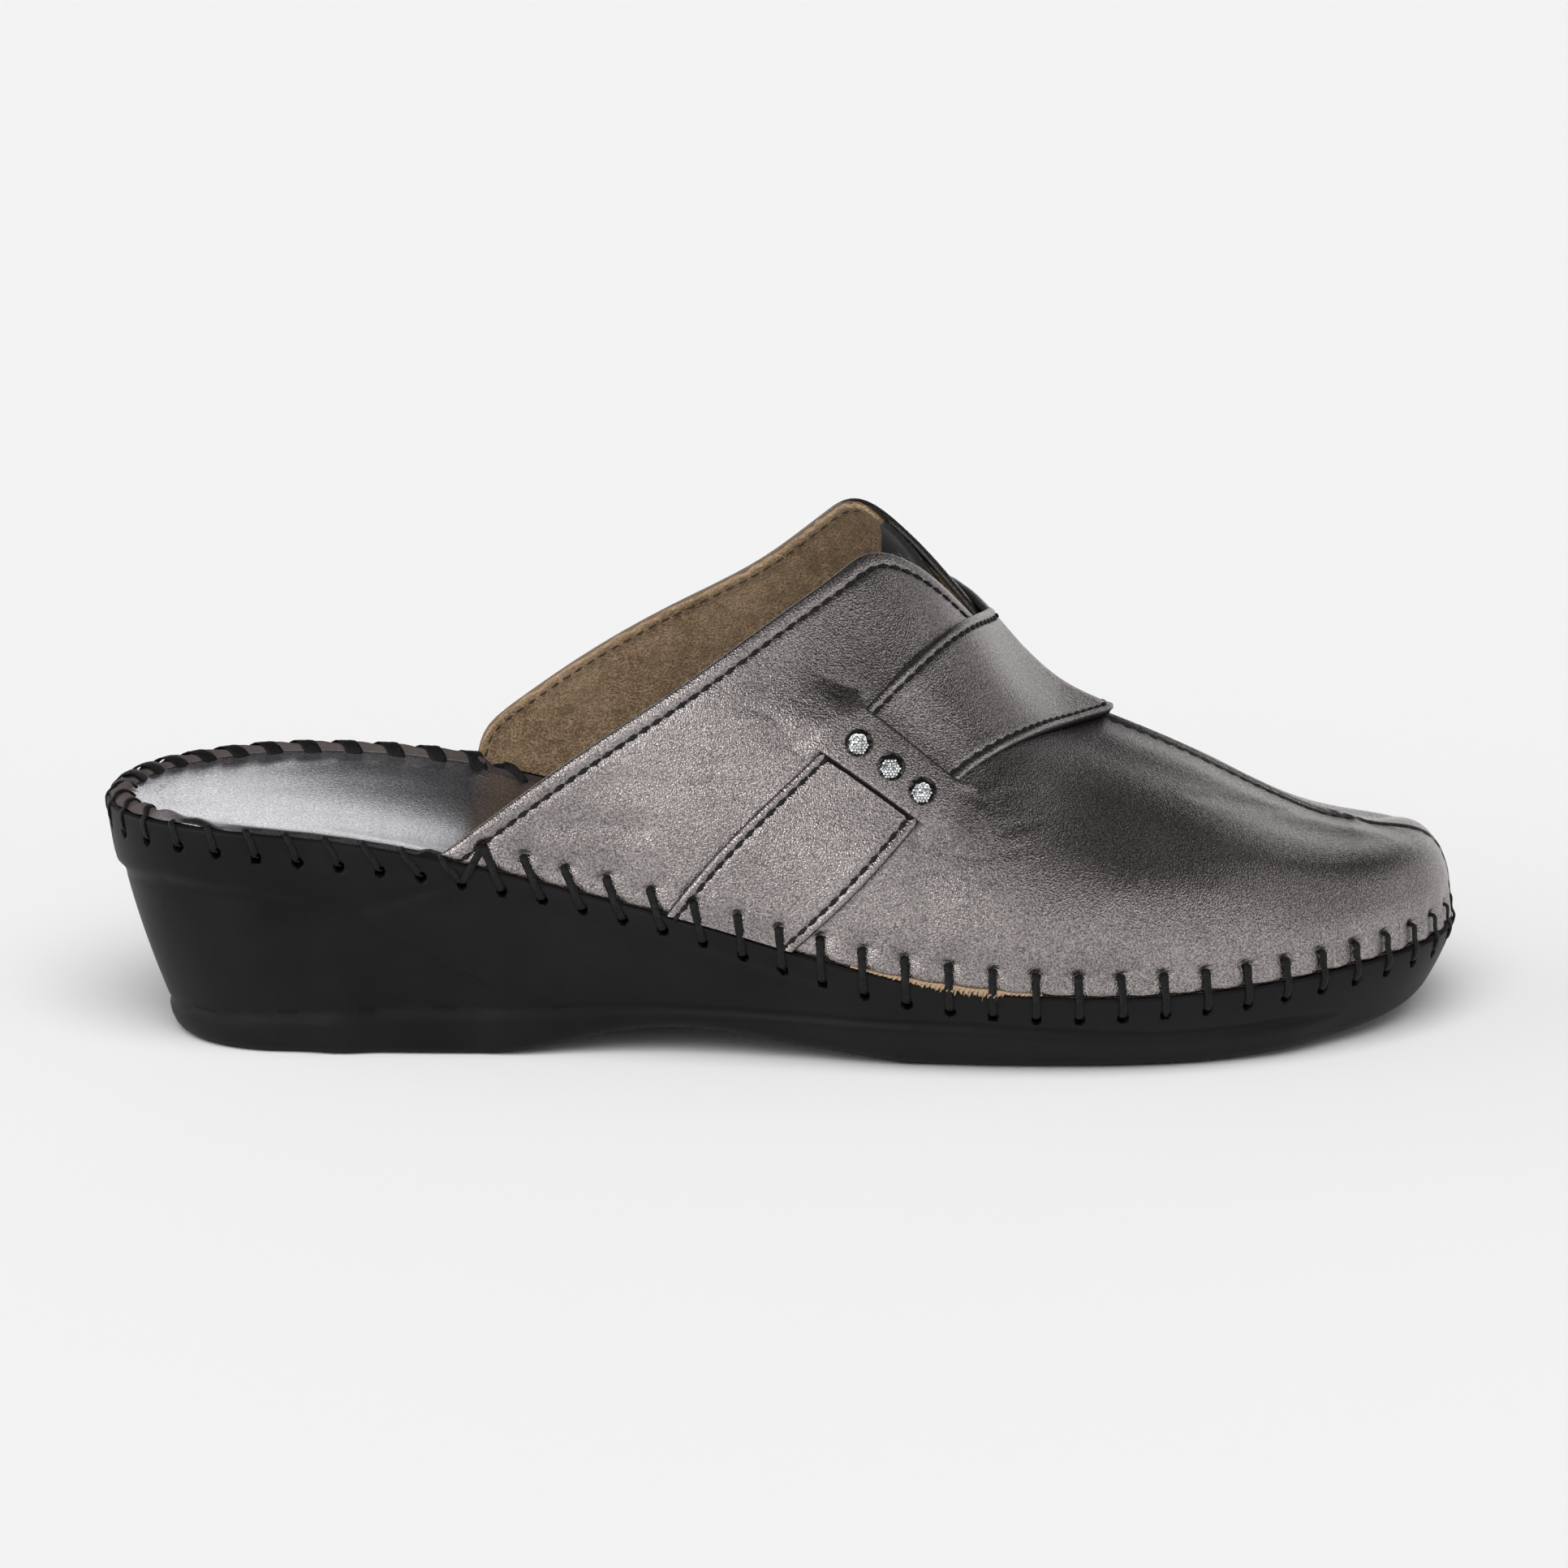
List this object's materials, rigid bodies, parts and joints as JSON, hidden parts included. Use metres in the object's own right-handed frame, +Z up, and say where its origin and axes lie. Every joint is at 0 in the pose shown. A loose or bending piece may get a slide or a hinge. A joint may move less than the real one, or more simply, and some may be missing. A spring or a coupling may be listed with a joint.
{
  "type": "house slipper",
  "caption": "Open-backed leather house slipper for the right foot: whip-seamed upper with saddle strap and elastic gore, leather footbed and moulded wedge sole.",
  "frame": {"origin": "on the floor, under the middle of the bounding box", "axes": "+X towards the toe, +Z up; -Y is the outer side of the foot"},
  "size_m": [0.2522, 0.095, 0.0954],
  "materials": {
    "sole": "satin moulded",
    "footbed_leather": "pewter metallic",
    "upper_leather": "pewter metallic",
    "elastic": "woven",
    "crystal": "cut and mirrored behind"
  },
  "bodies": {
    "root": {"sole": "sole", "insole": "footbed_leather", "upper": "upper_leather", "gore": "elastic", "strap": "upper_leather", "keeper": "upper_leather", "crystal_1": "crystal", "crystal_2": "crystal", "crystal_3": "crystal"}
  },
  "joints": []
}
